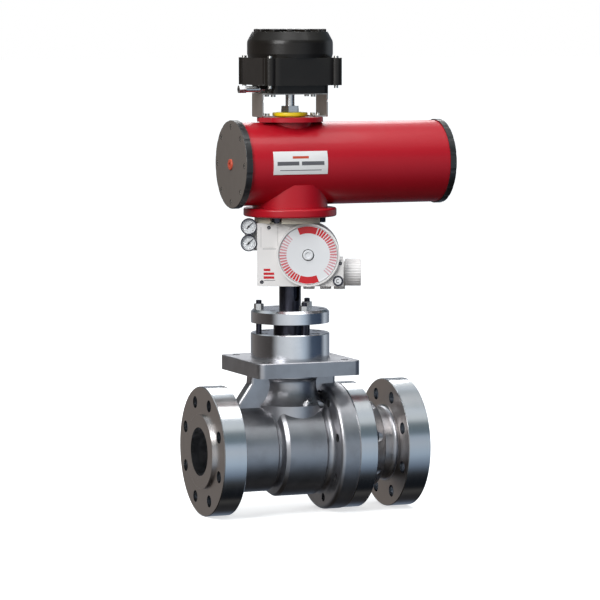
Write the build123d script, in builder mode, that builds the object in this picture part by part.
"""Pneumatically actuated, flanged ball valve with positioner and limit switch box.

Frame: origin at the centre of the ball, X along the pipe from inlet to outlet, +Z up the stem.
All sizes are in millimetres.
"""

import os
from math import asin, cos, pi, radians, sin, sqrt, tan

from build123d import *

os.makedirs("parts", exist_ok=True)

# ---------------------------------------------------------------- driving dimensions
# Pipe connection (4 inch, class 600, raised face)
bore_d = 102.0
flange_d = 273.0
flange_t = 50.0
face_d = 157.2
face_h = 6.4
bolt_circle = 215.9
bolt_count = 8
bolt_hole_d = 25.4
hub_d = 152.0
inlet_x = 205.0
outlet_x = 272.0

# Valve body
ball_d = 160.0
ball_gap = 0.3
cavity_wall = 18.0
barrel_left = -46.0
barrel_right = 44.0
drum_r = 90.0
groove_depth = 8.0
body_flange_d = 270.0
body_flange_t = 42.0
joint_x = 106.0
closure_t = 41.0
body_bolt_circle = 222.0
body_bolt_count = 8
body_bolt_d = 18.0
body_bolt_start = 30.0
seat_inset = 10.0
seat_outer_x = 76.0
gusset_t = 32.0
gusset_round = 7.0
fitting_angle = -80.0

# Neck, pad and gland
pad_size = 230.0
pad_t = 31.0
pad_z = 160.0
pad_hole_d = 17.5
pad_hole_pitch = 176.0
neck_r = 55.0
neck_flare = 20.0
neck_flare_h = 42.0
neck_bore_r = 28.0
bonnet_r = 83.0
bonnet_h = 53.0
stuffing_r = 35.0
stem_r = 19.0
drive_stem_r = 16.0
gland_gap = 22.0
gland_flange_r = 82.5
gland_flange_t = 28.0
gland_stud_r = 66.0
gland_stud_d = 12.0
gland_stud_count = 3
gland_stud_start = -85.0
guard_gap = 2.0
key_angle = -72.0
key_w = 10.0

# Actuator
cylinder_z = 600.0
cylinder_r = 87.0
cylinder_bore_r = 70.0
cylinder_left = -119.0
cylinder_right = 331.0
left_cap_r = 92.5
right_cap_r = 89.5
left_cap_t = 14.0
right_cap_t = 14.0
cap_screw_circle = 157.0
cap_screw_count = 8
lower_flange_r = 98.0
lower_flange_t = 18.0
lower_flange_z = 490.0
saddle_r = 79.0
upper_flange_r = 69.5
upper_flange_t = 10.0
upper_flange_z = 688.0
tooth_module = 4.0
pinion_teeth = 16
rack_h = 28.0
stroke = pi / 2 * tooth_module * pinion_teeth / 2
piston_t = 16.0
spring_wire_r = 7.0
spring_gap = 11.0
spring_turns = 6.0

# Positioner, clocked about the stem
clock = 22.0
pos_z = 411.0
pos_left = -69.0
pos_right = 112.0
pos_half_h = 66.0
block_h = 56.0
pos_back = -50.0
pos_front = 42.0
pos_wall = 6.0
dial_u = 38.0
dial_r = 61.0
indicator_teeth = 38
indicator_module = 1.0
bevel_teeth = 20
bevel_module = 1.5
gauge_r = 17.0
gauge_pitch = 34.5
gauge_drop = 7.0
gauge_back = 32.0
adaptor_r = 75.0
adaptor_t = 13.0
adaptor_bolt_circle = 142.0
adaptor_bolt_d = 12.0

# Limit switch box
bracket_t = 3.0
bracket_half = 74.0
bracket_w = 60.0
switch_z = 748.0
switch_foot_h = 17.0
switch_base_h = 57.0
switch_dome_h = 60.0
switch_half = 84.0
dome_r = 90.0
switch_wall = 5.0
switch_shaft_r = 9.5

# Clearances
run = 0.1
slide = 0.05
gear_backlash = 0.35

# ---------------------------------------------------------------- derived sizes
ball_r = ball_d / 2
seat_r = ball_r - seat_inset
cavity_r = ball_r + 4.0
body_r = cavity_r + cavity_wall
flange_r = flange_d / 2
bore_r = bore_d / 2
body_flange_r = body_flange_d / 2
body_flange_x = joint_x - body_flange_t
closure_x = joint_x + closure_t
waist_r = cavity_r + 10.0
seat_inner_x = sqrt(ball_r**2 - seat_r**2) + 5.3
pad_top = pad_z + pad_t
bonnet_top = pad_top + bonnet_h
gland_z = bonnet_top + gland_gap
gland_top = gland_z + gland_flange_t
guard_bore_r = drive_stem_r + guard_gap
guard_r = stem_r + 4.0
guard_seat = 8.0
guard_z = gland_top - guard_seat
pos_bottom = pos_z - pos_half_h
pos_top = pos_z + pos_half_h
guard_top = pos_bottom + pos_wall
pinion_r = tooth_module * pinion_teeth / 2
spring_r = cylinder_bore_r - spring_gap - spring_wire_r
gauge_u = pos_left - gauge_r - run
left_cap_x = cylinder_left - left_cap_t
lower_flange_top = lower_flange_z + lower_flange_t
upper_flange_top = upper_flange_z + upper_flange_t
dial_house_r = pos_half_h
bevel_r = bevel_teeth * bevel_module / 2
across = Vector(cos(radians(clock)), -sin(radians(clock)), 0)
outward = Vector(-sin(radians(clock)), -cos(radians(clock)), 0)


def face_plane(depth, u=0.0, v=0.0):
    """Plane parallel to the positioner's front; depth grows towards its front."""
    origin = across * u + outward * depth + Vector(0, 0, pos_z + v)
    return Plane(origin=origin, x_dir=across, z_dir=outward)


def side_plane(u, depth=0.0, v=0.0):
    """Plane across the positioner, facing along its width."""
    origin = across * u + outward * depth + Vector(0, 0, pos_z + v)
    return Plane(origin=origin, x_dir=Vector(0, 0, 1), z_dir=across)


def ring_edges(part, axis, position, radius):
    """Circular edges of the given radius whose centre lies at position along axis."""
    def matches(edge):
        centre = edge.arc_center
        place = centre.X if axis == Axis.X else centre.Z
        return abs(place - position) < 0.02 and abs(edge.radius - radius) < 0.02

    return part.edges().filter_by(GeomType.CIRCLE).filter_by(matches)


def involute(radius, base_r):
    """Involute angle in radians at a radius."""
    if radius <= base_r:
        return 0.0
    slope = sqrt((radius / base_r) ** 2 - 1)
    return slope - asin(slope / sqrt(1 + slope**2))


def gear_points(teeth, module, backlash, phase=0.0):
    """Outline of a 20 degree involute spur gear, one tooth centred on phase degrees."""
    pitch_r = teeth * module / 2
    base_r = pitch_r * cos(radians(20))
    root_r = pitch_r - 1.25 * module
    radii = [root_r, max(root_r, base_r) + 0.1 * module, pitch_r, pitch_r + 0.9 * module]
    half = pi / 2 / teeth - backlash / 2 / pitch_r + involute(pitch_r, base_r)
    points = []
    for tooth in range(teeth):
        centre = radians(phase) + 2 * pi * tooth / teeth
        left = [(r, centre - half + involute(r, base_r)) for r in radii]
        right = [(r, centre + half - involute(r, base_r)) for r in reversed(radii)]
        points += [(r * cos(a), r * sin(a)) for r, a in left + right]
    return points


def bevel_tooth(scale):
    """Points of a straight bevel tooth section at a share of the outer cone distance."""
    root = -1.2 * bevel_module * scale
    tip = 0.9 * bevel_module * scale
    half = 0.2 * pi * bevel_module * scale
    lean = tan(radians(20))
    return [
        (-half + root * lean, root),
        (half - root * lean, root),
        (half - tip * lean, tip),
        (-half + tip * lean, tip),
    ]


def bevel_gear(phase):
    """Mitre gear with its cone apex at the origin, opening towards -Z."""
    inner = 0.66
    cone = bevel_r * sqrt(2)
    with BuildPart() as gear:
        with BuildSketch(Plane.XZ):
            root = bevel_r - 1.15 * bevel_module / sqrt(2)
            depth = bevel_r + 1.15 * bevel_module / sqrt(2)
            with BuildLine():
                Polyline(
                    (0, -depth * inner), (root * inner, -depth * inner), (root, -depth),
                    (root, -depth - 4), (0, -depth - 4), close=True,
                )
            make_face()
        revolve(axis=Axis.Z)
        for index in range(bevel_teeth):
            angle = phase + 360 * index / bevel_teeth
            radial = Vector(cos(radians(angle)), sin(radians(angle)), 0)
            ray = (radial - Vector(0, 0, 1)) * (1 / sqrt(2))
            up = (radial + Vector(0, 0, 1)) * (1 / sqrt(2))
            sections = []
            for share in (inner, 1.0):
                plane = Plane(origin=ray * cone * share, x_dir=up.cross(ray), z_dir=ray)
                with BuildSketch(plane) as section:
                    with BuildLine():
                        Polyline(*bevel_tooth(share), close=True)
                    make_face()
                sections.append(section.sketch)
            loft(sections=[section.face() for section in sections])
    return gear.part


def socket_screw(plane, shank_d, length, head_h=None):
    """Socket head screw whose head seats on the plane and points along its normal."""
    head_h = head_h or shank_d
    with BuildPart() as screw:
        with BuildSketch(plane):
            Circle(shank_d * 0.75)
        extrude(amount=head_h)
        with BuildSketch(plane):
            Circle(shank_d / 2)
        extrude(amount=-length)
        with BuildSketch(plane.offset(head_h)):
            RegularPolygon(shank_d * 0.45, 6)
        extrude(amount=-head_h * 0.6, mode=Mode.SUBTRACT)
    return screw.part


def polar_planes(base, radius, count, start):
    """Planes spaced on a circle of the base plane, all facing its normal."""
    planes = []
    for index in range(count):
        angle = radians(start + 360 * index / count)
        origin = base.from_local_coords(Vector(radius * cos(angle), radius * sin(angle), 0))
        planes.append(Plane(origin=origin, x_dir=base.x_dir, z_dir=base.z_dir))
    return planes


# ================================================================ valve body
def gusset(points):
    """Cast web under the pad, with rounded edges; points are X and Z of its outline."""
    with BuildPart() as web:
        with BuildSketch(Plane.XZ.offset(-gusset_t / 2)):
            with BuildLine():
                Polyline(*points, close=True)
            make_face()
        extrude(amount=gusset_t)
        fillet(web.edges(), gusset_round)
    return web


left_gusset = gusset([
    (10, pad_z + 12), (-92, pad_z + 12), (-95, pad_z - 20), (-124, drum_r + 8),
    (-128, drum_r - 22), (10, drum_r - 22),
])
right_gusset = gusset([
    (-10, pad_z + 12), (98, pad_z + 12), (98, body_flange_r - 20), (-10, body_flange_r - 20),
])
# radius of an arc that leaves the neck along its side
flare_radius = (neck_flare**2 + neck_flare_h**2) / (2 * neck_flare)

with BuildPart() as valve_body:
    flange_face = -inlet_x + face_h
    flange_back = flange_face + flange_t
    with BuildSketch(Plane.XZ):
        with BuildLine():
            Polyline(
                (-inlet_x, 0), (-inlet_x, face_d / 2), (flange_face, face_d / 2),
                (flange_face, flange_r), (flange_back, flange_r), (flange_back, drum_r),
                (barrel_left - 15, drum_r), (barrel_left - 9, drum_r - groove_depth),
                (barrel_left - 5, drum_r - groove_depth), (barrel_left, body_r - 5),
                (barrel_left + 7, body_r),
                (barrel_right, body_r), (barrel_right + 7, waist_r), (body_flange_x, waist_r),
                (body_flange_x, body_flange_r), (joint_x, body_flange_r), (joint_x, 0), close=True,
            )
        make_face()
    revolve(axis=Axis.X)
    fillet(ring_edges(valve_body.part, Axis.X, flange_back, drum_r), 10)
    fillet(ring_edges(valve_body.part, Axis.X, body_flange_x, waist_r), 11)
    fillet(ring_edges(valve_body.part, Axis.X, body_flange_x, body_flange_r), 9)
    # neck that flares into the barrel and the pad
    flare_low = pad_z - 24 - neck_flare_h
    with BuildSketch(Plane.XZ):
        with BuildLine():
            Line((0, 60), (neck_r + neck_flare, 60))
            Line((neck_r + neck_flare, 60), (neck_r + neck_flare, flare_low))
            RadiusArc(
                (neck_r + neck_flare, flare_low), (neck_r, flare_low + neck_flare_h), flare_radius
            )
            Line((neck_r, flare_low + neck_flare_h), (neck_r, pad_z - 20))
            RadiusArc((neck_r, pad_z - 20), (neck_r + 12, pad_z - 8), 12)
            Line((neck_r + 12, pad_z - 8), (neck_r + 12, pad_z))
            Line((neck_r + 12, pad_z), (0, pad_z))
            Line((0, pad_z), (0, 60))
        make_face()
    revolve(axis=Axis.Z)
    with BuildSketch(Plane.XY.offset(pad_z)) as pad:
        RectangleRounded(pad_size, pad_size, 14)
    extrude(amount=pad_t)
    chamfer(valve_body.faces().filter_by(Axis.Z).sort_by(Axis.Z)[-1].edges(), 1.5)
    add(left_gusset.part)
    add(right_gusset.part)
    # flow passage, seat pocket and ball cavity
    with BuildSketch(Plane.XZ):
        with BuildLine():
            Polyline(
                (-inlet_x - 1, 0), (-inlet_x - 1, bore_r), (-seat_outer_x, bore_r),
                (-seat_outer_x, seat_r), (-seat_inner_x, seat_r), (-seat_inner_x, cavity_r),
                (joint_x + 1, cavity_r), (joint_x + 1, 0), close=True,
            )
        make_face()
    revolve(axis=Axis.X, mode=Mode.SUBTRACT)
    # stem passage
    with BuildSketch(Plane.XY.offset(ball_r - 10)):
        Circle(neck_bore_r)
    extrude(amount=pad_top, mode=Mode.SUBTRACT)
    # pipe bolts, body bolts and pad bolts
    with BuildSketch(Plane.YZ.offset(flange_face)):
        with PolarLocations(bolt_circle / 2, bolt_count, start_angle=180 / bolt_count):
            Circle(bolt_hole_d / 2)
    extrude(amount=flange_t, mode=Mode.SUBTRACT)
    with BuildSketch(Plane.YZ.offset(barrel_right - 4)):
        with PolarLocations(body_bolt_circle / 2, body_bolt_count, start_angle=body_bolt_start):
            Circle(body_bolt_d / 2)
    extrude(amount=joint_x - barrel_right + 5, mode=Mode.SUBTRACT)
    with BuildSketch(Plane.XY.offset(pad_z)):
        with GridLocations(pad_hole_pitch, pad_hole_pitch, 2, 2):
            Circle(pad_hole_d / 2)
    extrude(amount=pad_t, mode=Mode.SUBTRACT)
    chamfer(ring_edges(valve_body.part, Axis.X, flange_face, flange_r), 1.5)
    chamfer(ring_edges(valve_body.part, Axis.X, flange_back, flange_r), 1.5)
    chamfer(ring_edges(valve_body.part, Axis.X, joint_x, body_flange_r), 2)
valve_body.part.label = "valve_body"
export_step(valve_body.part, "parts/valve_body.step")

# End connector that closes the body and carries the outlet flange
with BuildPart() as end_connector:
    outlet_face = outlet_x - face_h
    outlet_back = outlet_face - flange_t
    closure_cone_x = closure_x + 42
    with BuildSketch(Plane.XZ):
        with BuildLine():
            Polyline(
                (seat_inner_x, 0), (seat_inner_x, cavity_r - run), (joint_x, cavity_r - run),
                (joint_x, body_flange_r - 1), (closure_x, body_flange_r - 1), (closure_x, 106),
                (closure_cone_x - 8, 92), (closure_cone_x, hub_d / 2), (outlet_back, hub_d / 2),
                (outlet_back, flange_r), (outlet_face, flange_r), (outlet_face, face_d / 2),
                (outlet_x, face_d / 2), (outlet_x, 0), close=True,
            )
        make_face()
    revolve(axis=Axis.X)
    fillet(ring_edges(end_connector.part, Axis.X, outlet_back, hub_d / 2), 10)
    fillet(ring_edges(end_connector.part, Axis.X, closure_cone_x - 8, 92), 6)
    with BuildSketch(Plane.XZ):
        with BuildLine():
            Polyline(
                (seat_inner_x - 1, 0), (seat_inner_x - 1, seat_r), (seat_outer_x, seat_r),
                (seat_outer_x, bore_r), (outlet_x + 1, bore_r), (outlet_x + 1, 0), close=True,
            )
        make_face()
    revolve(axis=Axis.X, mode=Mode.SUBTRACT)
    with BuildSketch(Plane.YZ.offset(outlet_back)):
        with PolarLocations(bolt_circle / 2, bolt_count, start_angle=180 / bolt_count):
            Circle(bolt_hole_d / 2)
    extrude(amount=flange_t, mode=Mode.SUBTRACT)
    with BuildSketch(Plane.YZ.offset(joint_x - 1)):
        with PolarLocations(body_bolt_circle / 2, body_bolt_count, start_angle=body_bolt_start):
            Circle(body_bolt_d / 2 + 1)
    extrude(amount=closure_t + 2, mode=Mode.SUBTRACT)
    with BuildSketch(Plane.YZ.offset(closure_x - 12)):
        with PolarLocations(body_bolt_circle / 2, body_bolt_count, start_angle=body_bolt_start):
            Circle(body_bolt_d * 0.75 + 3)
    extrude(amount=70, mode=Mode.SUBTRACT)
    chamfer(ring_edges(end_connector.part, Axis.X, outlet_face, flange_r), 1.5)
    chamfer(ring_edges(end_connector.part, Axis.X, outlet_back, flange_r), 1.5)
    chamfer(ring_edges(end_connector.part, Axis.X, joint_x, body_flange_r - 1), 2)
    chamfer(ring_edges(end_connector.part, Axis.X, closure_x, body_flange_r - 1), 2)
end_connector.part.label = "end_connector"
export_step(end_connector.part, "parts/end_connector.step")

with BuildPart() as body_bolts:
    bolt_plane = Plane.YZ.offset(closure_x - 12)
    for plane in polar_planes(bolt_plane, body_bolt_circle / 2, body_bolt_count, body_bolt_start):
        add(socket_screw(plane, body_bolt_d, closure_t + body_flange_t - 30))
body_bolts.part.label = "body_bolts"
export_step(body_bolts.part, "parts/body_bolts.step")


with BuildPart() as seat_ring_inlet:
    with BuildSketch(Plane.YZ.offset(-seat_outer_x)):
        Circle(seat_r)
        Circle(bore_r, mode=Mode.SUBTRACT)
    extrude(amount=seat_outer_x - seat_inner_x)
    Sphere(ball_r + ball_gap, mode=Mode.SUBTRACT)
seat_ring_inlet.part.label = "seat_ring_inlet"
export_step(seat_ring_inlet.part, "parts/seat_ring_inlet.step")

with BuildPart() as seat_ring_outlet:
    mirror(seat_ring_inlet.part, about=Plane.YZ)
seat_ring_outlet.part.label = "seat_ring_outlet"
export_step(seat_ring_outlet.part, "parts/seat_ring_outlet.step")

# ================================================================ ball and stem
tang_w = 24.0
tang_len = 46.0
tang_z = ball_r - 15.0

with BuildPart() as ball:
    Sphere(ball_r)
    with BuildSketch(Plane.YZ.offset(-ball_r)):
        Circle(bore_r)
    extrude(amount=ball_d, mode=Mode.SUBTRACT)
    with BuildSketch(Plane.XY.offset(tang_z)):
        Rectangle(2 * ball_r, tang_w)
    extrude(amount=ball_r, mode=Mode.SUBTRACT)
ball.part.label = "ball"
export_step(ball.part, "parts/ball.step")

stem_shoulder_z = ball_r + 2.0
stem_step_z = gland_top - 12.0
stem_top = guard_top + 14.0
square_stem = 22.0
key_z = pos_bottom - 26.0

with BuildPart() as stem:
    with BuildSketch(Plane.XY.offset(tang_z)):
        Rectangle(tang_len, tang_w)
    extrude(amount=stem_shoulder_z - tang_z)
    with BuildSketch(Plane.XY.offset(stem_shoulder_z)):
        Circle(neck_bore_r - 1)
    extrude(amount=14)
    with BuildSketch(Plane.XY.offset(stem_shoulder_z + 14)):
        Circle(stem_r)
    extrude(amount=stem_step_z - stem_shoulder_z - 14)
    with BuildSketch(Plane.XY.offset(stem_step_z)):
        Circle(drive_stem_r)
    extrude(amount=guard_top + 1 - stem_step_z)
    with BuildSketch(Plane.XY.offset(guard_top + 1)):
        Rectangle(square_stem, square_stem)
    extrude(amount=stem_top - guard_top - 1)
    with Locations(Location((0, 0, 0), (0, 0, key_angle))):
        with Locations((drive_stem_r - 2.5, 0, key_z + 13)):
            Box(5, key_w, 26, mode=Mode.SUBTRACT)
stem.part.label = "stem"
export_step(stem.part, "parts/stem.step")

with BuildPart() as stem_key:
    with Locations(Location((0, 0, 0), (0, 0, key_angle))):
        with Locations((drive_stem_r - 2.3, 0, key_z + 13)):
            Box(6.4, key_w, 26)
    fillet(stem_key.edges().filter_by(Axis.Z), 0.6)
with BuildPart() as key_cut:
    add(stem_key.part)
    add(stem.part, mode=Mode.SUBTRACT)
key_cut.part.label = "stem_key"
export_step(key_cut.part, "parts/stem_key.step")

# ================================================================ bonnet and gland
bonnet_foot = stem_shoulder_z + 14.3

with BuildPart() as bonnet:
    with BuildSketch(Plane.XY.offset(pad_top)):
        Circle(bonnet_r)
    extrude(amount=bonnet_h)
    chamfer(ring_edges(bonnet.part, Axis.Z, bonnet_top, bonnet_r), 1.5)
    with BuildSketch(Plane.XY.offset(bonnet_foot)):
        Circle(neck_bore_r - run)
    extrude(amount=pad_top - bonnet_foot)
    with BuildSketch(Plane.XY.offset(bonnet_foot)):
        Circle(stem_r + run)
    extrude(amount=bonnet_top - bonnet_foot, mode=Mode.SUBTRACT)
    with BuildSketch(Plane.XY.offset(bonnet_top - 38)):
        Circle(stuffing_r)
    extrude(amount=38, mode=Mode.SUBTRACT)
    with BuildSketch(Plane.XY.offset(bonnet_top - 24)):
        with PolarLocations(gland_stud_r, gland_stud_count, start_angle=gland_stud_start):
            Circle(gland_stud_d / 2)
    extrude(amount=24, mode=Mode.SUBTRACT)
    with BuildSketch(Plane.XY.offset(bonnet_top - 13)):
        with PolarLocations(gland_stud_r - 3, 6, start_angle=gland_stud_start + 30):
            Circle(10)
    extrude(amount=13, mode=Mode.SUBTRACT)
    with BuildSketch(Plane.XY.offset(pad_top)):
        with PolarLocations(gland_stud_r - 3, 6, start_angle=gland_stud_start + 30):
            Circle(6)
    extrude(amount=bonnet_h, mode=Mode.SUBTRACT)
bonnet.part.label = "bonnet"
export_step(bonnet.part, "parts/bonnet.step")

with BuildPart() as bonnet_screws:
    screw_plane = Plane.XY.offset(bonnet_top - 13)
    for plane in polar_planes(screw_plane, gland_stud_r - 3, 6, gland_stud_start + 30):
        add(socket_screw(plane, 12.0, bonnet_h - 13))
bonnet_screws.part.label = "bonnet_screws"
export_step(bonnet_screws.part, "parts/bonnet_screws.step")

with BuildPart() as packing_rings:
    for index in range(3):
        with BuildSketch(Plane.XY.offset(bonnet_top - 38 + 8.5 * index)):
            Circle(stuffing_r)
            Circle(stem_r + slide, mode=Mode.SUBTRACT)
        extrude(amount=8)
packing_rings.part.label = "packing_rings"
export_step(packing_rings.part, "parts/packing_rings.step")

with BuildPart() as gland_follower:
    follower_z = bonnet_top - 38 + 25
    with BuildSketch(Plane.XY.offset(follower_z)):
        Circle(stuffing_r - slide)
        Circle(stem_r + run, mode=Mode.SUBTRACT)
    extrude(amount=gland_z - follower_z)
gland_follower.part.label = "gland_follower"
export_step(gland_follower.part, "parts/gland_follower.step")

with BuildPart() as gland_flange:
    with BuildSketch(Plane.XY.offset(gland_z)):
        Circle(gland_flange_r)
    extrude(amount=gland_flange_t)
    chamfer(ring_edges(gland_flange.part, Axis.Z, gland_top, gland_flange_r), 5)
    with BuildSketch(Plane.XY.offset(gland_z)):
        Circle(stem_r + 1)
        with PolarLocations(gland_stud_r, gland_stud_count, start_angle=gland_stud_start):
            Circle(gland_stud_d / 2 + 0.5)
        with PolarLocations(gland_stud_r, gland_stud_count, start_angle=gland_stud_start + 60):
            Circle(gland_stud_d / 2 + 0.5)
    extrude(amount=gland_flange_t, mode=Mode.SUBTRACT)
    with BuildSketch(Plane.XY.offset(guard_z)):
        Circle(guard_r)
    extrude(amount=guard_seat, mode=Mode.SUBTRACT)
gland_flange.part.label = "gland_flange"
export_step(gland_flange.part, "parts/gland_flange.step")

with BuildPart() as gland_studs:
    with BuildSketch(Plane.XY.offset(bonnet_top - 24)):
        with PolarLocations(gland_stud_r, gland_stud_count, start_angle=gland_stud_start):
            Circle(gland_stud_d / 2)
    extrude(amount=24 + gland_gap + gland_flange_t + 18)
    chamfer(gland_studs.edges().filter_by(GeomType.CIRCLE).group_by(Axis.Z)[-1], 1.2)
gland_studs.part.label = "gland_studs"
export_step(gland_studs.part, "parts/gland_studs.step")

with BuildPart() as gland_nuts:
    with BuildSketch(Plane.XY.offset(gland_top)):
        with PolarLocations(gland_stud_r, gland_stud_count, start_angle=gland_stud_start):
            RegularPolygon(gland_stud_d * 0.87, 6)
            Circle(gland_stud_d / 2, mode=Mode.SUBTRACT)
    extrude(amount=gland_stud_d * 0.85)
gland_nuts.part.label = "gland_nuts"
export_step(gland_nuts.part, "parts/gland_nuts.step")

with BuildPart() as stem_guard:
    with BuildSketch(Plane.XY.offset(guard_z)):
        Circle(guard_r)
        Circle(stem_r + 1, mode=Mode.SUBTRACT)
    extrude(amount=guard_top - guard_z)
    with BuildSketch(Plane.XY.offset(stem_step_z + 3)):
        Circle(stem_r + 1)
        Circle(guard_bore_r, mode=Mode.SUBTRACT)
    extrude(amount=guard_top - stem_step_z - 3)
    window = Plane(
        origin=(0, 0, key_z),
        x_dir=(-sin(radians(key_angle)), cos(radians(key_angle)), 0),
        z_dir=(cos(radians(key_angle)), sin(radians(key_angle)), 0),
    )
    with BuildSketch(window):
        Circle(8.5)
        with Locations((0, 30)):
            Rectangle(17, 60)
    extrude(amount=guard_r + 5, mode=Mode.SUBTRACT)
stem_guard.part.label = "stem_guard"
export_step(stem_guard.part, "parts/stem_guard.step")

with BuildPart() as relief_fitting:
    fitting_at = Vector(cos(radians(fitting_angle)), sin(radians(fitting_angle)), 0)
    fitting_plane = Plane(
        origin=fitting_at * (neck_r + neck_flare - 12) + Vector(0, 0, flare_low + 2),
        x_dir=(-fitting_at.Y, fitting_at.X, 0), z_dir=fitting_at * 0.77 + Vector(0, 0, 0.64),
    )
    with BuildSketch(fitting_plane):
        RegularPolygon(9, 6)
    extrude(amount=14)
    with BuildSketch(fitting_plane.offset(14)):
        Circle(5.5)
    extrude(amount=5)
    add(valve_body.part, mode=Mode.SUBTRACT)
relief_fitting.part.label = "relief_fitting"
export_step(relief_fitting.part, "parts/relief_fitting.step")

# ================================================================ actuator
upper_hole_r = 30.0
lower_hole_r = pinion_r + tooth_module + 2.0
shaft_r = 18.0
bearing_r = 24.0


def vertical_cylinder(radius, z_low, z_high):
    """Solid vertical cylinder about the stem axis."""
    return Pos(0, 0, (z_low + z_high) / 2) * Cylinder(radius, z_high - z_low)


def tube_core(radius, x_low, x_high):
    """Solid cylinder about the actuator axis."""
    middle = (x_low + x_high) / 2
    return Pos(middle, 0, cylinder_z) * Rot(0, 90, 0) * Cylinder(radius, x_high - x_low)


with BuildPart() as actuator_cylinder:
    with BuildSketch(Plane.YZ.offset(cylinder_left)):
        with Locations((0, cylinder_z)):
            Circle(cylinder_r)
            Circle(cylinder_bore_r, mode=Mode.SUBTRACT)
    extrude(amount=cylinder_right - cylinder_left)
    with BuildSketch(Plane.XY.offset(cylinder_z - cylinder_r)):
        Circle(lower_hole_r)
    extrude(amount=cylinder_r, mode=Mode.SUBTRACT)
    with BuildSketch(Plane.XY.offset(cylinder_z)):
        Circle(upper_hole_r)
    extrude(amount=cylinder_r, mode=Mode.SUBTRACT)
    for end, depth in ((cylinder_left, 22), (cylinder_right, -22)):
        with BuildSketch(Plane.YZ.offset(end)):
            with Locations((0, cylinder_z)):
                with PolarLocations(cap_screw_circle / 2, cap_screw_count):
                    Circle(3.0)
        extrude(amount=depth, mode=Mode.SUBTRACT)
actuator_cylinder.part.label = "actuator_cylinder"
export_step(actuator_cylinder.part, "parts/actuator_cylinder.step")

tube_outside = tube_core(cylinder_r, cylinder_left, cylinder_right)

with BuildPart() as lower_flange:
    with BuildSketch(Plane.XY.offset(lower_flange_z)):
        Circle(lower_flange_r)
    extrude(amount=lower_flange_t)
    fillet(lower_flange.edges().filter_by(GeomType.CIRCLE), 4)
    with BuildSketch(Plane.XY.offset(lower_flange_top)):
        Circle(saddle_r)
    extrude(amount=cylinder_z - cylinder_r - lower_flange_top + 45)
    add(tube_outside, mode=Mode.SUBTRACT)
    with BuildSketch(Plane.XY.offset(lower_flange_top)):
        Circle(lower_hole_r - slide)
    extrude(amount=cylinder_z - cylinder_bore_r + 16 - lower_flange_top)
    with BuildSketch(Plane.XY.offset(lower_flange_z)):
        Circle(bearing_r + 6)
    extrude(amount=lower_flange_t, mode=Mode.SUBTRACT)
    with BuildSketch(Plane.XY.offset(lower_flange_z)):
        Circle(bearing_r)
    extrude(amount=80, mode=Mode.SUBTRACT)
    with BuildSketch(Plane.XY.offset(lower_flange_z)):
        with PolarLocations(adaptor_bolt_circle / 2, 4, start_angle=45):
            Circle(adaptor_bolt_d / 2)
    extrude(amount=lower_flange_t, mode=Mode.SUBTRACT)
lower_flange.part.label = "lower_flange"
export_step(lower_flange.part, "parts/lower_flange.step")

with BuildPart() as upper_flange:
    with BuildSketch(Plane.XY.offset(upper_flange_z)):
        Circle(upper_flange_r)
        with BuildLine():
            Polyline((-61, -24), (-82, -33), (-55, -40), close=True)
        make_face()
    extrude(amount=upper_flange_t)
    chamfer(ring_edges(upper_flange.part, Axis.Z, upper_flange_top, upper_flange_r), 1.5)
    with BuildSketch(Plane.XY.offset(cylinder_z + 30)):
        Circle(46)
    extrude(amount=upper_flange_z - cylinder_z - 30)
    add(tube_outside, mode=Mode.SUBTRACT)
    with BuildSketch(Plane.XY.offset(cylinder_z + cylinder_bore_r - 4)):
        Circle(upper_hole_r - slide)
    extrude(amount=upper_flange_z - cylinder_z - cylinder_bore_r + 4)
    with BuildSketch(Plane.XY.offset(cylinder_z)):
        Circle(bearing_r)
    extrude(amount=200, mode=Mode.SUBTRACT)
upper_flange.part.label = "upper_flange"
export_step(upper_flange.part, "parts/upper_flange.step")

lower_bearing_z = lower_flange_top + 8
upper_bearing_z = cylinder_z + cylinder_bore_r - 2

with BuildPart() as pinion_bearings:
    for height, length in ((lower_bearing_z, 28), (upper_bearing_z, 26)):
        with BuildSketch(Plane.XY.offset(height)):
            Circle(bearing_r)
            Circle(shaft_r + slide, mode=Mode.SUBTRACT)
        extrude(amount=length)
pinion_bearings.part.label = "pinion_bearings"
export_step(pinion_bearings.part, "parts/pinion_bearings.step")


def end_cap(x_inner, thickness, direction, cap_r, plug_r):
    """Round end cap with scalloped rim and screw counterbores."""
    with BuildPart() as cap:
        inner_plane = Plane.YZ.offset(x_inner)
        with BuildSketch(inner_plane):
            with Locations((0, cylinder_z)):
                Circle(cap_r)
                with PolarLocations(cap_r + 21.2, 16, start_angle=11.25):
                    Circle(22, mode=Mode.SUBTRACT)
        extrude(amount=direction * thickness)
        fillet(cap.faces().sort_by(Axis.X)[-1 if direction > 0 else 0].outer_wire().edges(), 2)
        with BuildSketch(inner_plane):
            with Locations((0, cylinder_z)):
                Circle(cylinder_bore_r - slide)
        extrude(amount=-direction * 8)
        with BuildSketch(Plane.YZ.offset(x_inner + direction * thickness)):
            with Locations((0, cylinder_z)):
                with PolarLocations(cap_screw_circle / 2, cap_screw_count):
                    Circle(5.5)
        extrude(amount=-direction * 6, mode=Mode.SUBTRACT)
        with BuildSketch(Plane.YZ.offset(x_inner + direction * thickness)):
            with Locations((0, cylinder_z)):
                with PolarLocations(cap_screw_circle / 2, cap_screw_count):
                    Circle(3)
                if plug_r:
                    Circle(plug_r)
        extrude(amount=-direction * (thickness + 8), mode=Mode.SUBTRACT)
    return cap.part


plug_r = 8.0
with BuildPart() as end_cap_left:
    add(end_cap(cylinder_left, left_cap_t, -1, left_cap_r, plug_r))
end_cap_left.part.label = "end_cap_left"
export_step(end_cap_left.part, "parts/end_cap_left.step")

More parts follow.
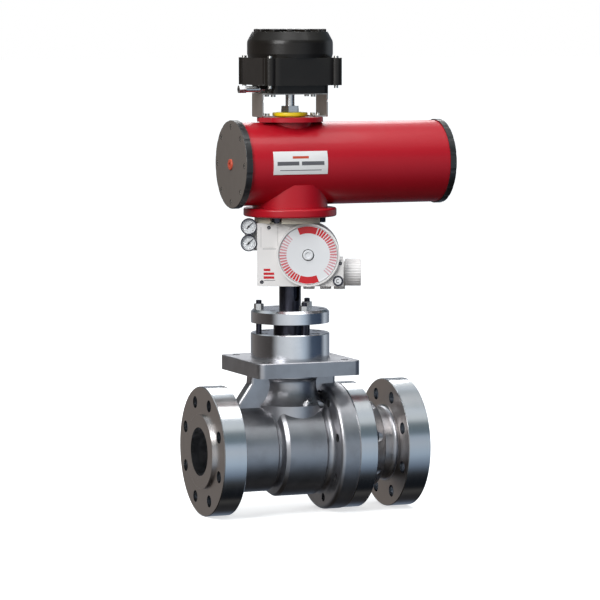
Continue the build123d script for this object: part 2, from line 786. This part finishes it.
with BuildPart() as end_cap_right:
    add(end_cap(cylinder_right, right_cap_t, 1, right_cap_r, 0))
end_cap_right.part.label = "end_cap_right"
export_step(end_cap_right.part, "parts/end_cap_right.step")

with BuildPart() as cap_screws:
    left_plane = Plane(origin=(left_cap_x + 6, 0, cylinder_z), x_dir=(0, 1, 0), z_dir=(-1, 0, 0))
    right_plane = Plane(
        origin=(cylinder_right + right_cap_t - 6, 0, cylinder_z), x_dir=(0, 1, 0), z_dir=(1, 0, 0)
    )
    for base, cap_t in ((left_plane, left_cap_t), (right_plane, right_cap_t)):
        for plane in polar_planes(base, cap_screw_circle / 2, cap_screw_count, 0):
            add(socket_screw(plane, 6.0, cap_t + 12, 5.5))
cap_screws.part.label = "cap_screws"
export_step(cap_screws.part, "parts/cap_screws.step")

with BuildPart() as air_plug:
    with BuildSketch(Plane(origin=(left_cap_x, 0, cylinder_z), z_dir=(-1, 0, 0))):
        Circle(11.5)
    extrude(amount=3)
    with BuildSketch(Plane(origin=(left_cap_x, 0, cylinder_z), z_dir=(-1, 0, 0))):
        Circle(plug_r)
    extrude(amount=-12)
    fillet(air_plug.faces().sort_by(Axis.X)[0].edges(), 1.5)
    with BuildSketch(Plane(origin=(left_cap_x - 3, 0, cylinder_z), z_dir=(-1, 0, 0))):
        RegularPolygon(4.5, 6)
    extrude(amount=-5, mode=Mode.SUBTRACT)
air_plug.part.label = "air_plug"
export_step(air_plug.part, "parts/air_plug.step")

with BuildPart() as data_plate:
    plate_low, plate_high = cylinder_z - 19.0, cylinder_z + 29.0
    plate_left, plate_right = cylinder_left + 48.0, cylinder_left + 169.0
    with BuildSketch(Plane.YZ.offset(plate_left)):
        with Locations((0, cylinder_z)):
            Circle(cylinder_r + 1)
            Circle(cylinder_r, mode=Mode.SUBTRACT)
        with Locations((-cylinder_r, (plate_low + plate_high) / 2)):
            Rectangle(cylinder_r, plate_high - plate_low, mode=Mode.INTERSECT)
    extrude(amount=plate_right - plate_left)
data_plate.part.label = "data_plate"
export_step(data_plate.part, "parts/data_plate.step")

# Pinion, rack, piston and spring
rack_z = cylinder_z - rack_h / 2
pinion_z = rack_z - 3
pinion_h = rack_h + 6
coupling_top = lower_flange_z - 2
square_pinion = 25.0

with BuildPart() as pinion_shaft:
    with BuildSketch(Plane.XY.offset(coupling_top - 18)):
        Rectangle(square_pinion, square_pinion)
    extrude(amount=18)
    with BuildSketch(Plane.XY.offset(coupling_top)):
        Circle(shaft_r)
    extrude(amount=upper_flange_top + 10 - coupling_top)
    with BuildSketch(Plane.XY.offset(pinion_z)):
        with BuildLine():
            Polyline(*gear_points(pinion_teeth, tooth_module, gear_backlash), close=True)
        make_face()
    extrude(amount=pinion_h)
pinion_shaft.part.label = "pinion_shaft"
export_step(pinion_shaft.part, "parts/pinion_shaft.step")

piston_face = cylinder_left + 10.5
piston_back = piston_face + piston_t
seat_plate_x = pinion_r + tooth_module + 26.0
seat_plate_t = 12.0


def rack_points(x_low, x_high):
    """Rack outline in X and Y, with a tooth gap centred on X = 0 at rest."""
    pitch = pi * tooth_module
    lean = tan(radians(20))
    root = pinion_r + 1.25 * tooth_module
    tip = pinion_r - 0.9 * tooth_module
    half = pitch / 4 - gear_backlash / 2
    first = int(-(stroke + 2 * pitch) // pitch)
    points = [(x_low, root)]
    for index in range(first, 2):
        centre = (index + 0.5) * pitch
        points += [
            (centre - half - (root - pinion_r) * lean, root),
            (centre - half + (pinion_r - tip) * lean, tip),
            (centre + half - (pinion_r - tip) * lean, tip),
            (centre + half + (root - pinion_r) * lean, root),
        ]
    points += [(x_high, root), (x_high, root + 14), (x_low, root + 14)]
    return points


with BuildPart() as piston_rack:
    with BuildSketch(Plane.XY.offset(rack_z)):
        with BuildLine():
            Polyline(*rack_points(piston_back, seat_plate_x), close=True)
        make_face()
    extrude(amount=rack_h)
piston_rack.part.label = "piston_rack"
export_step(piston_rack.part, "parts/piston_rack.step")

with BuildPart() as piston:
    with BuildSketch(Plane.YZ.offset(piston_face)):
        with Locations((0, cylinder_z)):
            Circle(cylinder_bore_r - run)
    extrude(amount=piston_t)
    with BuildSketch(Plane.YZ.offset(piston_face + 5)):
        with Locations((0, cylinder_z)):
            Circle(cylinder_bore_r)
            Circle(cylinder_bore_r - 5, mode=Mode.SUBTRACT)
    extrude(amount=6, mode=Mode.SUBTRACT)
piston.part.label = "piston"
export_step(piston.part, "parts/piston.step")

with BuildPart() as piston_seal:
    with BuildSketch(Plane.YZ.offset(piston_face + 5)):
        with Locations((0, cylinder_z)):
            Circle(cylinder_bore_r - slide)
            Circle(cylinder_bore_r - 5, mode=Mode.SUBTRACT)
    extrude(amount=6)
piston_seal.part.label = "piston_seal"
export_step(piston_seal.part, "parts/piston_seal.step")

with BuildPart() as spring_plate:
    with BuildSketch(Plane.YZ.offset(seat_plate_x)):
        with Locations((0, cylinder_z)):
            Circle(cylinder_bore_r - run)
    extrude(amount=seat_plate_t)
    with BuildSketch(Plane.YZ.offset(seat_plate_x + seat_plate_t)):
        with Locations((0, cylinder_z)):
            Circle(spring_r - spring_wire_r - 3)
    extrude(amount=10)
spring_plate.part.label = "spring_plate"
export_step(spring_plate.part, "parts/spring_plate.step")

with BuildPart() as return_spring:
    spring_start = seat_plate_x + seat_plate_t + spring_wire_r + 0.5
    spring_end = cylinder_right - 8 - spring_wire_r - 0.5
    with BuildLine() as coil:
        Helix(
            (spring_end - spring_start) / spring_turns, spring_end - spring_start, spring_r,
            center=(spring_start, 0, cylinder_z), direction=(1, 0, 0),
        )
    with BuildSketch(Plane(origin=coil.line @ 0, z_dir=coil.line % 0)):
        Circle(spring_wire_r)
    sweep(path=coil.line, is_frenet=True)
return_spring.part.label = "return_spring"
export_step(return_spring.part, "parts/return_spring.step")

# ================================================================ drive through the positioner
with BuildPart() as drive_coupling:
    socket_z = guard_top + 2
    with BuildSketch(Plane.XY.offset(socket_z)):
        Circle(20)
    extrude(amount=16)
    with BuildSketch(Plane.XY.offset(socket_z + 16)):
        Circle(15)
    extrude(amount=coupling_top - 22 - socket_z - 16)
    with BuildSketch(Plane.XY.offset(coupling_top - 22)):
        Circle(27)
    extrude(amount=22)
    with BuildSketch(Plane.XY.offset(socket_z)):
        Rectangle(square_stem, square_stem)
    extrude(amount=stem_top - socket_z, mode=Mode.SUBTRACT)
    with BuildSketch(Plane.XY.offset(coupling_top - 18)):
        Rectangle(square_pinion, square_pinion)
    extrude(amount=18, mode=Mode.SUBTRACT)
drive_coupling.part.label = "drive_coupling"
export_step(drive_coupling.part, "parts/drive_coupling.step")

gear_z = pos_z - 37.0
gear_t = 9.0
gear_plane = Plane(origin=(0, 0, gear_z), x_dir=across, z_dir=(0, 0, 1))

with BuildPart() as feedback_gear:
    with BuildSketch(gear_plane):
        with BuildLine():
            Polyline(*gear_points(indicator_teeth, indicator_module, 0.25), close=True)
        make_face()
        Circle(15, mode=Mode.SUBTRACT)
    extrude(amount=gear_t)
feedback_gear.part.label = "feedback_gear"
export_step(feedback_gear.part, "parts/feedback_gear.step")

idler_plane = Plane(origin=across * dial_u + Vector(0, 0, gear_z), x_dir=across, z_dir=(0, 0, 1))
idler_foot = pos_bottom + pos_wall + 2
bevel_hub = bevel_r + 1.15 * bevel_module / sqrt(2) + 4
lower_bevel_plane = Plane(origin=across * dial_u + Vector(0, 0, pos_z), x_dir=outward)

# Idler shaft with its spur gear and mitre gear cut in one piece
with BuildPart() as idler_shaft:
    with BuildSketch(idler_plane):
        with BuildLine():
            Polyline(
                *gear_points(indicator_teeth, indicator_module, 0.25, 180 + 180 / indicator_teeth),
                close=True,
            )
        make_face()
    extrude(amount=gear_t)
    with BuildSketch(idler_plane.offset(idler_foot + 0.3 - gear_z)):
        Circle(4)
    extrude(amount=pos_z - bevel_hub + 2 - idler_foot)
    add(bevel_gear(0).located(lower_bevel_plane.location))
idler_shaft.part.label = "idler_shaft"
export_step(idler_shaft.part, "parts/idler_shaft.step")

dial_bevel_plane = Plane(
    origin=across * dial_u + Vector(0, 0, pos_z), x_dir=(0, 0, -1), z_dir=outward * -1
)

cover_t = 8.0
bezel_h = 8.0
dial_back = pos_front + cover_t + 2
dial_t = 3.0

# Dial shaft with its mitre gear cut in one piece, the cone apex on the idler axis
with BuildPart() as dial_shaft:
    with BuildSketch(face_plane(bevel_hub - 2, dial_u)):
        Circle(4)
    extrude(amount=dial_back + dial_t - bevel_hub + 2)
    add(bevel_gear(180 / bevel_teeth).located(dial_bevel_plane.location))
dial_shaft.part.label = "dial_shaft"
export_step(dial_shaft.part, "parts/dial_shaft.step")

# ================================================================ positioner case
def case_outline(inset):
    """Front outline of the positioner, or its inside: box, round dial part and lower right block."""
    box_w = dial_u - pos_left - inset
    block_w = pos_right - dial_u - inset
    with BuildSketch(Plane.XY) as outline:
        with Locations((dial_u - box_w / 2, 0)):
            Rectangle(box_w, 2 * (pos_half_h - inset))
        with Locations((dial_u, 0)):
            Circle(dial_house_r - inset)
        with Locations((dial_u + block_w / 2, -pos_half_h + block_h / 2)):
            Rectangle(block_w, block_h - 2 * inset)
    return outline.sketch


case_outer = case_outline(0)
case_inner = case_outline(pos_wall)
cap_v = -40.0
cap_neck_r = 24.0

with BuildPart() as positioner_housing:
    with BuildSketch(face_plane(pos_back)):
        add(case_outer)
    extrude(amount=pos_front - pos_back)
    fillet(positioner_housing.edges().filter_by(lambda e: abs(e.center().dot(outward) - pos_back) < 0.01), 5)
    with BuildSketch(face_plane(pos_back + pos_wall)):
        add(case_inner)
    extrude(amount=pos_front - pos_back, mode=Mode.SUBTRACT)
    # bosses for the three air ports below
    for port_u in (dial_u + 2, dial_u + 37, dial_u + 66):
        port_plane = Plane(origin=across * port_u + Vector(0, 0, pos_bottom + 8), x_dir=across)
        with BuildSketch(port_plane):
            Circle(12)
        extrude(amount=-17)
        with BuildSketch(port_plane.offset(-17)):
            Circle(5.7)
        extrude(amount=14, mode=Mode.SUBTRACT)
    # gauge manifold
    with BuildSketch(face_plane(-12)):
        with Locations(((pos_left + gauge_u - 8) / 2, pos_half_h - 29)):
            Rectangle(pos_left - gauge_u + 8 + 2, 58)
    extrude(amount=gauge_back + 12)
    # neck of the terminal chamber
    with BuildSketch(side_plane(pos_right - pos_wall, 0, cap_v)):
        Circle(cap_neck_r)
    extrude(amount=pos_wall + 4)
    # idler bearing boss
    with BuildSketch(Plane(origin=across * dial_u + Vector(0, 0, pos_bottom + pos_wall), x_dir=across)):
        Circle(9)
    extrude(amount=14)
    with BuildSketch(Plane(origin=across * dial_u + Vector(0, 0, idler_foot), x_dir=across)):
        Circle(4 + slide)
    extrude(amount=40, mode=Mode.SUBTRACT)
    # openings for the stem guard and the drive
    with BuildSketch(Plane.XY.offset(pos_bottom)):
        Circle(guard_r)
    extrude(amount=pos_wall, mode=Mode.SUBTRACT)
    with BuildSketch(Plane.XY.offset(pos_top - pos_wall)):
        Circle(bearing_r + 6)
    extrude(amount=pos_wall, mode=Mode.SUBTRACT)
positioner_housing.part.label = "positioner_housing"
export_step(positioner_housing.part, "parts/positioner_housing.step")

with BuildPart() as positioner_cover:
    with BuildSketch(face_plane(pos_front)):
        add(case_outer)
    extrude(amount=cover_t)
    with BuildSketch(face_plane(pos_front + cover_t, dial_u)):
        Circle(dial_house_r)
        Circle(dial_r + 1, mode=Mode.SUBTRACT)
    extrude(amount=bezel_h)
    with BuildSketch(face_plane(pos_front, dial_u)):
        Circle(4 + slide)
    extrude(amount=cover_t, mode=Mode.SUBTRACT)
    # joint lines of the small service door
    with BuildSketch(face_plane(pos_front + cover_t)):
        with Locations((dial_u - dial_house_r + 1.5, pos_half_h - 15)):
            Rectangle(1.2, 30)
        with Locations((pos_left + 21, pos_half_h - 51)):
            Rectangle(26, 1.2)
    extrude(amount=-1, mode=Mode.SUBTRACT)
    # screw recesses
    with BuildSketch(face_plane(pos_front + cover_t)):
        with Locations((pos_left + 25, pos_half_h - 9), (pos_left + 10, -pos_half_h + 9), (pos_right - 7, -18)):
            Circle(4)
    extrude(amount=-4, mode=Mode.SUBTRACT)
positioner_cover.part.label = "positioner_cover"
export_step(positioner_cover.part, "parts/positioner_cover.step")

with BuildPart() as positioner_screws:
    for u, v in ((pos_left + 25, pos_half_h - 9), (pos_left + 10, -pos_half_h + 9), (pos_right - 7, -18)):
        with BuildSketch(face_plane(pos_front + cover_t - 4, u, v)):
            Circle(3.6)
            RegularPolygon(1.8, 6, mode=Mode.SUBTRACT)
        extrude(amount=3)
positioner_screws.part.label = "positioner_screws"
export_step(positioner_screws.part, "parts/positioner_screws.step")

with BuildPart() as dial_disc:
    with BuildSketch(face_plane(dial_back, dial_u)):
        Circle(dial_r)
        Circle(4, mode=Mode.SUBTRACT)
    extrude(amount=dial_t)
    with BuildSketch(face_plane(dial_back + dial_t, dial_u)):
        Circle(9.5)
    extrude(amount=4)
    with BuildSketch(face_plane(dial_back + dial_t + 4, dial_u)):
        Circle(6.5)
    extrude(amount=-2, mode=Mode.SUBTRACT)
dial_disc.part.label = "dial_disc"
export_step(dial_disc.part, "parts/dial_disc.step")

# Pressure gauges
gauge_depth = 20.0
gauge_heights = (pos_half_h - gauge_drop, pos_half_h - gauge_drop - gauge_pitch)

with BuildPart() as gauge_cases:
    for v in gauge_heights:
        with BuildSketch(face_plane(gauge_back, gauge_u, v)):
            Circle(gauge_r)
        extrude(amount=gauge_depth)
        with BuildSketch(face_plane(gauge_back + 6, gauge_u, v)):
            Circle(gauge_r - 2)
        extrude(amount=gauge_depth, mode=Mode.SUBTRACT)
gauge_cases.part.label = "gauge_cases"
export_step(gauge_cases.part, "parts/gauge_cases.step")

with BuildPart() as gauge_faces:
    for v in gauge_heights:
        with BuildSketch(face_plane(gauge_back + 6, gauge_u, v)):
            Circle(gauge_r - 2)
            Circle(1.2, mode=Mode.SUBTRACT)
        extrude(amount=8)
gauge_faces.part.label = "gauge_faces"
export_step(gauge_faces.part, "parts/gauge_faces.step")

with BuildPart() as gauge_lenses:
    for v in gauge_heights:
        with BuildSketch(face_plane(gauge_back + 17.5, gauge_u, v)):
            Circle(gauge_r - 2)
        extrude(amount=1.8)
gauge_lenses.part.label = "gauge_lenses"
export_step(gauge_lenses.part, "parts/gauge_lenses.step")


def gauge_pointer(v):
    """Slim pointer with its hub and arbor, pointing up to the right."""
    with BuildPart() as pointer:
        centre = face_plane(gauge_back + 15, gauge_u, v).origin
        pointer_plane = Plane(origin=centre, x_dir=across + Vector(0, 0, 1), z_dir=outward)
        with BuildSketch(pointer_plane):
            with BuildLine():
                Polyline((-6, -1.1), (12.5, -0.35), (12.5, 0.35), (-6, 1.1), close=True)
            make_face()
            Circle(2.2)
        extrude(amount=1)
        with BuildSketch(pointer_plane):
            Circle(1.0)
        extrude(amount=-7)
    return pointer.part


with BuildPart() as supply_pointer:
    add(gauge_pointer(gauge_heights[0]))
supply_pointer.part.label = "supply_pointer"
export_step(supply_pointer.part, "parts/supply_pointer.step")

with BuildPart() as output_pointer:
    add(gauge_pointer(gauge_heights[1]))
output_pointer.part.label = "output_pointer"
export_step(output_pointer.part, "parts/output_pointer.step")

with BuildPart() as terminal_cap:
    with BuildSketch(side_plane(pos_right + 4, 0, cap_v)):
        Circle(28.5)
        with PolarLocations(29.6, 30):
            Circle(1.9, mode=Mode.SUBTRACT)
    extrude(amount=33)
    fillet(terminal_cap.faces().sort_by(Axis(origin=(0, 0, 0), direction=across))[-1].edges(), 0.8)
terminal_cap.part.label = "terminal_cap"
export_step(terminal_cap.part, "parts/terminal_cap.step")

with BuildPart() as vent_plug:
    vent_plane = face_plane(pos_front + cover_t, pos_right - 11.5, -pos_half_h + 11.5)
    with BuildSketch(vent_plane):
        Circle(11)
    extrude(amount=3)
    with BuildSketch(vent_plane.offset(3)):
        Circle(8.5)
    extrude(amount=-1, mode=Mode.SUBTRACT)
vent_plug.part.label = "vent_plug"
export_step(vent_plug.part, "parts/vent_plug.step")

with BuildPart() as mounting_adaptor:
    with BuildSketch(Plane.XY.offset(pos_top)):
        Circle(adaptor_r)
        Circle(bearing_r + 6, mode=Mode.SUBTRACT)
        with PolarLocations(adaptor_bolt_circle / 2 + 2, 4, start_angle=45):
            Circle(adaptor_bolt_d + 1, mode=Mode.SUBTRACT)
    extrude(amount=adaptor_t)
mounting_adaptor.part.label = "mounting_adaptor"
export_step(mounting_adaptor.part, "parts/mounting_adaptor.step")

with BuildPart() as adaptor_bolts:
    with BuildSketch(Plane.XY.offset(lower_flange_z - 12)):
        with PolarLocations(adaptor_bolt_circle / 2, 4, start_angle=45):
            Circle(adaptor_bolt_d / 2)
    extrude(amount=12 + lower_flange_t)
    with BuildSketch(Plane.XY.offset(lower_flange_z)):
        with PolarLocations(adaptor_bolt_circle / 2, 4, start_angle=45):
            RegularPolygon(adaptor_bolt_d * 0.85, 6)
    extrude(amount=-adaptor_bolt_d * 0.75)
adaptor_bolts.part.label = "adaptor_bolts"
export_step(adaptor_bolts.part, "parts/adaptor_bolts.step")

# ================================================================ position indicator and switch box
clamp_z = upper_flange_top + 10

with BuildPart() as indicator_disc:
    with BuildSketch(Plane.XY.offset(upper_flange_top + 1)):
        Circle(37)
        Circle(shaft_r, mode=Mode.SUBTRACT)
    extrude(amount=9)
    fillet(ring_edges(indicator_disc.part, Axis.Z, clamp_z, 37), 3)
    fillet(ring_edges(indicator_disc.part, Axis.Z, upper_flange_top + 1, 37), 3)
indicator_disc.part.label = "indicator_disc"
export_step(indicator_disc.part, "parts/indicator_disc.step")

with BuildPart() as shaft_clamp:
    with BuildSketch(Plane.XY.offset(clamp_z)):
        RegularPolygon(20, 6)
    extrude(amount=13)
    with BuildSketch(Plane.XY.offset(clamp_z + 7)):
        Rectangle(50, 6)
    extrude(amount=6, mode=Mode.SUBTRACT)
    with BuildSketch(Plane.XY.offset(clamp_z + 4)):
        Circle(switch_shaft_r)
    extrude(amount=9, mode=Mode.SUBTRACT)
shaft_clamp.part.label = "shaft_clamp"
export_step(shaft_clamp.part, "parts/shaft_clamp.step")

base_floor = switch_z + switch_foot_h
base_top = base_floor + switch_base_h

with BuildPart() as switch_shaft:
    with BuildSketch(Plane.XY.offset(clamp_z + 4)):
        Circle(switch_shaft_r)
    extrude(amount=base_top - 12 - clamp_z - 4)
switch_shaft.part.label = "switch_shaft"
export_step(switch_shaft.part, "parts/switch_shaft.step")

with BuildPart() as switch_cams:
    for height in (base_floor + 14, base_floor + 30):
        with BuildSketch(Plane.XY.offset(height)):
            Circle(20)
            with Locations((8, 0)):
                Circle(17)
            Circle(switch_shaft_r, mode=Mode.SUBTRACT)
        extrude(amount=10)
switch_cams.part.label = "switch_cams"
export_step(switch_cams.part, "parts/switch_cams.step")

with BuildPart() as switchbox_bracket:
    plate_z = switch_z - bracket_t
    with BuildSketch(Plane.XY.offset(plate_z)):
        Rectangle(2 * bracket_half, bracket_w)
        Circle(switch_shaft_r + 6, mode=Mode.SUBTRACT)
        with GridLocations(90, 36, 2, 2):
            Circle(3, mode=Mode.SUBTRACT)
    extrude(amount=bracket_t)
    for side in (-1, 1):
        with BuildSketch(Plane.YZ.offset(side * bracket_half)):
            with Locations((0, (upper_flange_top + switch_z) / 2)):
                RectangleRounded(bracket_w, switch_z - upper_flange_top, 4)
            with Locations((-bracket_w / 2, upper_flange_top + 34)):
                Circle(3, mode=Mode.SUBTRACT)
        extrude(amount=-side * bracket_t)
        with BuildSketch(Plane.XY.offset(upper_flange_top)):
            with Locations((side * (bracket_half - 14), 0)):
                Rectangle(28, bracket_w - 8)
        extrude(amount=bracket_t)
    with BuildSketch(Plane.XY.offset(upper_flange_top)):
        with GridLocations(114, 30, 2, 2):
            Circle(3)
        Circle(40)
    extrude(amount=bracket_t, mode=Mode.SUBTRACT)
switchbox_bracket.part.label = "switchbox_bracket"
export_step(switchbox_bracket.part, "parts/switchbox_bracket.step")

with BuildPart() as bracket_screws:
    with BuildSketch(Plane.XY.offset(upper_flange_top)):
        with GridLocations(114, 30, 2, 2):
            Circle(3)
    extrude(amount=bracket_t)
    with BuildSketch(Plane.XY.offset(upper_flange_top + bracket_t)):
        with GridLocations(114, 30, 2, 2):
            Circle(5)
    extrude(amount=5)
    with BuildSketch(Plane.XY.offset(switch_z - bracket_t)):
        with GridLocations(90, 36, 2, 2):
            Circle(3)
    extrude(amount=bracket_t)
    with BuildSketch(Plane.XY.offset(switch_z - bracket_t)):
        with GridLocations(90, 36, 2, 2):
            Circle(5)
    extrude(amount=-5)
bracket_screws.part.label = "bracket_screws"
export_step(bracket_screws.part, "parts/bracket_screws.step")

lug_at = switch_half - 10.0
lug_r = 12.0

with BuildPart() as switchbox_base:
    with BuildSketch(Plane.XY.offset(switch_z)):
        RectangleRounded(128, 128, 12)
    extrude(amount=switch_foot_h)
    with BuildSketch(Plane.XY.offset(base_floor)):
        RectangleRounded(2 * switch_half, 2 * switch_half, 30)
        with GridLocations(2 * lug_at, 2 * lug_at, 2, 2):
            Circle(lug_r)
    extrude(amount=switch_base_h)
    with BuildSketch(Plane.XY.offset(base_floor + switch_wall)):
        Circle(switch_half - switch_wall)
    extrude(amount=switch_base_h, mode=Mode.SUBTRACT)
    with BuildSketch(Plane.XY.offset(switch_z)):
        Circle(switch_shaft_r + run)
    extrude(amount=base_floor, mode=Mode.SUBTRACT)
    with BuildSketch(Plane.YZ.offset(-64)):
        with Locations((-20, switch_z + 9)):
            Circle(6)
    extrude(amount=20, mode=Mode.SUBTRACT)
switchbox_base.part.label = "switchbox_base"
export_step(switchbox_base.part, "parts/switchbox_base.step")

dome_crown = base_top + switch_dome_h - 6
dome_shoulder_r = 18.0
dome_ribs = 12

with BuildPart() as switchbox_cover:
    with BuildSketch(Plane.XZ):
        with BuildLine():
            Polyline(
                (0, base_top), (dome_r - 2, base_top), (dome_r, base_top + 8),
                (dome_r, base_top + 34), (dome_r - 11, dome_crown), (26, dome_crown),
                (22, dome_crown - 8), (0, dome_crown - 8), close=True,
            )
        make_face()
    revolve(axis=Axis.Z)
    fillet(ring_edges(switchbox_cover.part, Axis.Z, base_top + 34, dome_r), dome_shoulder_r)
    with BuildSketch(Plane.XY.offset(dome_crown - 6)):
        with PolarLocations(dome_r - 40, dome_ribs, start_angle=8):
            RectangleRounded(52, 15, 5)
    extrude(amount=12)
    fillet(switchbox_cover.faces().sort_by(Axis.Z)[-dome_ribs:].edges(), 2.5)
    with BuildSketch(Plane.XZ):
        with BuildLine():
            Polyline(
                (0, base_top), (dome_r - 8, base_top), (dome_r - 9, base_top + 28),
                (dome_r - 28, dome_crown - 13), (0, dome_crown - 13), close=True,
            )
        make_face()
    revolve(axis=Axis.Z, mode=Mode.SUBTRACT)
switchbox_cover.part.label = "switchbox_cover"
export_step(switchbox_cover.part, "parts/switchbox_cover.step")

with BuildPart() as switchbox_screws:
    with BuildSketch(Plane.XY.offset(base_top)):
        with GridLocations(2 * lug_at, 2 * lug_at, 2, 2):
            Circle(5)
            RegularPolygon(2.6, 6, mode=Mode.SUBTRACT)
    extrude(amount=4)
    with BuildSketch(Plane.XY.offset(base_floor)):
        with GridLocations(2 * lug_at, 2 * lug_at, 2, 2):
            Circle(4.5)
    extrude(amount=-6)
switchbox_screws.part.label = "switchbox_screws"
export_step(switchbox_screws.part, "parts/switchbox_screws.step")

with BuildPart() as cable_gland:
    gland_plane = Plane(origin=(-64, -20, switch_z + 9), x_dir=(0, 1, 0), z_dir=(-1, 0, 0))
    with BuildSketch(gland_plane):
        Circle(6)
    extrude(amount=-12)
    with BuildSketch(gland_plane):
        RegularPolygon(9, 6)
    extrude(amount=14)
    with BuildSketch(gland_plane.offset(14)):
        Circle(6.5)
    extrude(amount=30)
    with BuildSketch(gland_plane.offset(44)):
        RegularPolygon(9, 6)
    extrude(amount=15)
    with BuildSketch(gland_plane.offset(59)):
        Circle(4)
    extrude(amount=-54, mode=Mode.SUBTRACT)
cable_gland.part.label = "cable_gland"
export_step(cable_gland.part, "parts/cable_gland.step")

with BuildPart() as microswitches:
    for height in (base_floor + 13, base_floor + 29):
        with Locations((0, 42, height + 6)):
            Box(34, 20, 12)
microswitches.part.label = "microswitches"
export_step(microswitches.part, "parts/microswitches.step")
